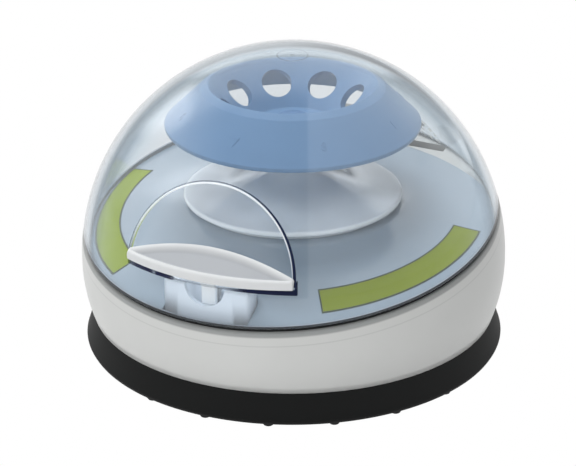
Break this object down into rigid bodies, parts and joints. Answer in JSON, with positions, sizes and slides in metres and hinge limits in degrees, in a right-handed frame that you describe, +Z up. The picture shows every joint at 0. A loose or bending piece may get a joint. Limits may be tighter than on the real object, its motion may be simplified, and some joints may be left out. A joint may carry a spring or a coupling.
{
  "type": "mini centrifuge",
  "caption": "Small bench centrifuge: white drum on a black foot ring, clear domed lid hinged at the back, angled tube rotor turned by a motor inside.",
  "frame": {"origin": "on the bench, under the rotor spin axis and the middle of the foot ring", "axes": "+Z up along the spin axis, -Y towards the front with the finger tab, +X to the right seen from the front"},
  "size_m": [0.152, 0.152, 0.1081],
  "materials": {
    "white_plastic": "satin white moulded plastic",
    "black_rubber": "matt black elastomer",
    "grey_plastic": "satin grey moulded plastic",
    "pale_plastic": "satin pale grey plastic",
    "blue_plastic": "satin mid blue moulded plastic",
    "knob_plastic": "satin blue plastic",
    "clear_plastic": "clear polished plastic",
    "boss_plastic": "pale blue white plastic",
    "black_plastic": "fine black plastic",
    "switch_plastic": "black plastic",
    "steel": "bright steel",
    "bronze": "sintered bronze",
    "magnet": "dark ferrite",
    "iron": "laminated iron",
    "board": "green circuit board"
  },
  "bodies": {
    "base": {"casing": "white_plastic", "rim_seal": "black_rubber", "deck": "grey_plastic", "foot_ring": "black_rubber", "base_plate": "black_plastic", "base_screws": "steel", "motor_can": "steel", "motor_end_cap": "black_plastic", "front_bush": "bronze", "rear_bush": "bronze", "field_magnets": "magnet", "motor_bracket": "steel", "motor_grommets": "black_rubber", "motor_screws": "steel", "motor_cover": "pale_plastic", "hinge_pin": "steel", "latch_boss": "boss_plastic", "latch_spring": "steel", "lid_switch": "black_plastic", "power_switch": "black_plastic", "power_inlet": "black_plastic", "circuit_board": "board", "board_parts": "black_plastic", "board_screws": "steel"},
    "lid": {"lid": "clear_plastic", "finger_tab": "white_plastic", "latch_tongue": "white_plastic"},
    "rotor": {"rotor": "blue_plastic", "rotor_knob": "knob_plastic", "drive_shaft": "steel", "armature": "iron"},
    "rocker": {"power_rocker": "switch_plastic"},
    "plunger": {"switch_plunger": "switch_plastic"}
  },
  "joints": [
    {"name": "lid_hinge", "type": "hinge", "parent": "base", "child": "lid", "pos_m": [0, 0.0733, 0.0606], "axis": [-1, 0, 0], "range_deg": [0, 95]},
    {"name": "rotor_spin", "type": "hinge", "parent": "base", "child": "rotor", "pos_m": [0, 0, 0.0521], "axis": [0, 0, 1], "continuous": true},
    {"name": "rocker_tilt", "type": "hinge", "parent": "base", "child": "rocker", "pos_m": [0.02152, 0.07038, 0.0261], "axis": [0, 0, 1], "range_deg": [0, 16]},
    {"name": "plunger_slide", "type": "slide", "parent": "base", "child": "plunger", "axis": [0, 0, 1], "range_m": [0, 0.0012]}
  ],
  "couplings": [
    {"joint": "plunger_slide", "follows": "lid_hinge", "m_per_rad": 0.0007}
  ]
}
